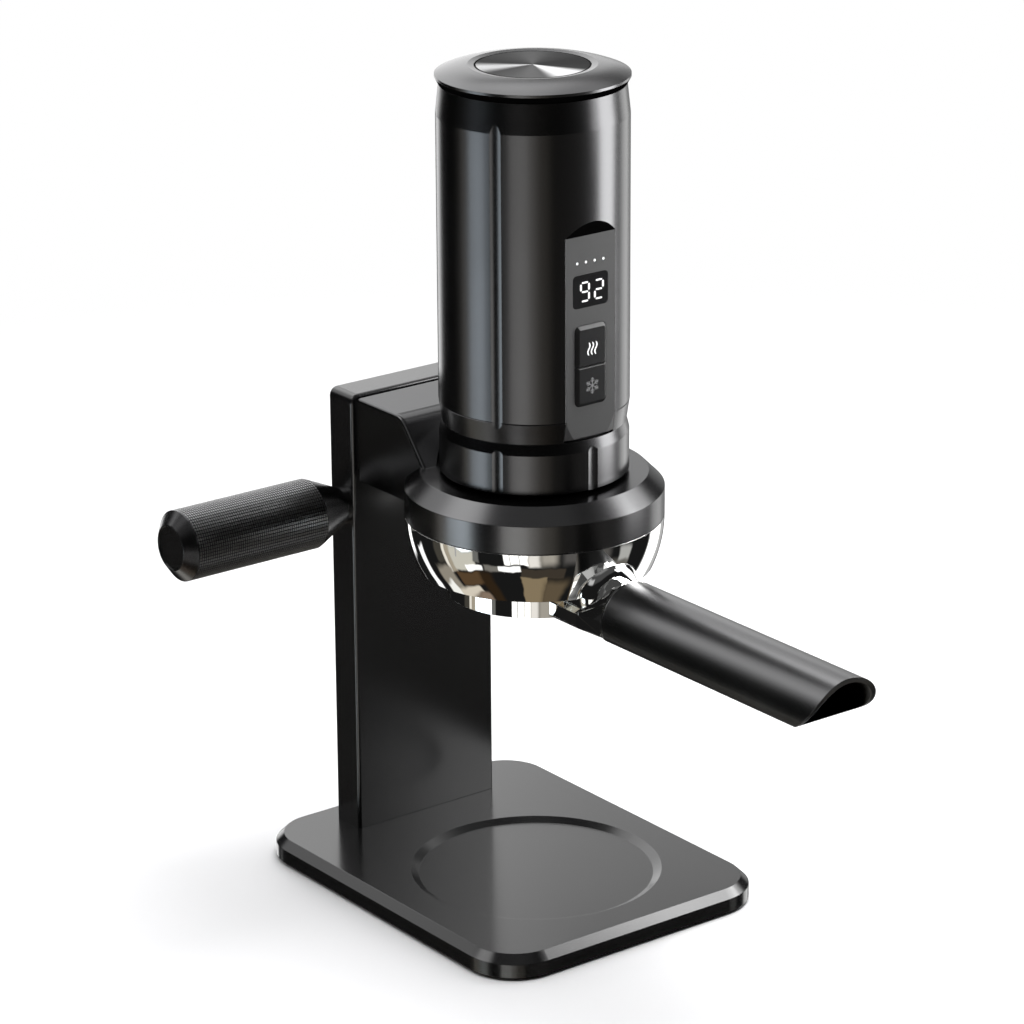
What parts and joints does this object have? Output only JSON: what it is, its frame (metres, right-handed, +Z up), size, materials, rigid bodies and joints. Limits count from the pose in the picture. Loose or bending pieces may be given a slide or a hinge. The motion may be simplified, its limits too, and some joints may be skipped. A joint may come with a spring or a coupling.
{
  "type": "pump espresso machine",
  "caption": "Cylindrical electric pump espresso maker in a bench stand with a bottomless portafilter, side grip, screw lid and front panel with display and keys.",
  "frame": {"origin": "on the underside of the foot pad, straight below the brewing axis", "axes": "+Z up along the brewing axis, -Y towards the front where the handle points, +X to the right as seen from the front"},
  "size_m": [0.1781, 0.279, 0.3307],
  "materials": {
    "stand_black": "black powder coat, fine satin",
    "base_grey": "dark grey powder coat, satin",
    "collar_black": "dark grey powder coat, satin",
    "ballast_steel": "bare rolled steel",
    "screw_steel": "black oxide steel",
    "bright_steel": "satin stainless steel",
    "foot_rubber": "moulded rubber",
    "seal_rubber": "food grade silicone",
    "grip_black": "black anodised, knurled",
    "shell_black": "black anodised, satin",
    "panel_grey": "dark grey moulded, fine texture",
    "window_black": "smoked gloss window",
    "light_white": "white light pipes",
    "key_black": "black moulded keys",
    "board_green": "green circuit board",
    "inner_plastic": "black moulded plastic",
    "cell_wrap": "blue sleeved cells",
    "tank_steel": "drawn stainless steel",
    "hose_silicone": "clear silicone hose",
    "lid_grey": "dark grey anodised, satin",
    "disc_grey": "spun brushed disc",
    "bright_chrome": "polished chrome plate",
    "handle_black": "black anodised, satin"
  },
  "bodies": {
    "stand": {"base_plate": "base_grey", "base_weight": "ballast_steel", "weight_screws": "screw_steel", "base_pad": "foot_rubber", "column": "stand_black", "column_screws": "screw_steel", "arm": "collar_black", "arm_screws": "screw_steel", "lock_ring": "bright_steel", "lock_ring_screws": "bright_steel", "group_gasket": "seal_rubber", "grip_stud": "bright_steel", "grip_neck": "grip_black", "grip_sleeve": "grip_black", "grip_end_cap": "grip_black"},
    "adapter": {"adapter_ring": "shell_black", "shower_screen": "bright_steel", "screen_screw": "bright_steel"},
    "brewer": {"body_shell": "shell_black", "control_panel": "panel_grey", "display_window": "window_black", "display_module": "inner_plastic", "indicator_lights": "light_white", "control_board": "board_green", "button_switches": "inner_plastic", "charge_port": "bright_steel", "brew_head": "inner_plastic", "nozzle_seal": "seal_rubber", "battery_cells": "cell_wrap", "chassis_posts": "inner_plastic", "chassis_tray": "inner_plastic", "pump_head": "inner_plastic", "motor_can": "bright_steel", "inlet_tube": "hose_silicone", "heater_plate": "bright_steel", "water_tank": "tank_steel", "mouth_ring": "inner_plastic"},
    "lid_seal": {"lid_seal": "seal_rubber"},
    "lid": {"lid_cap": "lid_grey", "lid_disc": "disc_grey"},
    "heat_button": {"heat_button": "key_black"},
    "cold_button": {"cold_button": "key_black"},
    "rotor": {"motor_shaft": "bright_steel", "motor_armature": "bright_steel", "pump_cam": "inner_plastic"},
    "portafilter": {"portafilter_bowl": "bright_chrome", "filter_basket": "bright_steel", "basket_spring": "bright_steel", "handle_trim": "bright_chrome", "handle_shell": "handle_black", "handle_stud": "bright_steel"}
  },
  "joints": [
    {"name": "portafilter_twist", "type": "hinge", "parent": "stand", "child": "portafilter", "pos_m": [0, 0, 0.1607], "axis": [0, 0, 1], "range_deg": [-45, 0]},
    {"name": "adapter_lift", "type": "slide", "parent": "stand", "child": "adapter", "axis": [0, 0, 1], "range_m": [0, 0.045]},
    {"name": "brewer_twist", "type": "hinge", "parent": "adapter", "child": "brewer", "pos_m": [0, 0, 0.195], "axis": [0, 0, 1], "range_deg": [0, 60]},
    {"name": "lid_rise", "type": "slide", "parent": "brewer", "child": "lid_seal", "axis": [0, 0, 1], "range_m": [0, 0.0075]},
    {"name": "lid_turn", "type": "hinge", "parent": "lid_seal", "child": "lid", "pos_m": [0, 0, 0.3242], "axis": [0, 0, 1], "range_deg": [0, 450]},
    {"name": "heat_button_press", "type": "slide", "parent": "brewer", "child": "heat_button", "axis": [0, 1, 0], "range_m": [0, 0.0008], "stiffness_N_per_m": 2500},
    {"name": "cold_button_press", "type": "slide", "parent": "brewer", "child": "cold_button", "axis": [0, 1, 0], "range_m": [0, 0.0008], "stiffness_N_per_m": 2500},
    {"name": "motor_spin", "type": "hinge", "parent": "brewer", "child": "rotor", "pos_m": [0, 0, 0.236], "axis": [0, 0, 1], "continuous": true}
  ],
  "couplings": [
    {"joint": "lid_rise", "follows": "lid_turn", "m_per_rad": 0.00095493}
  ]
}
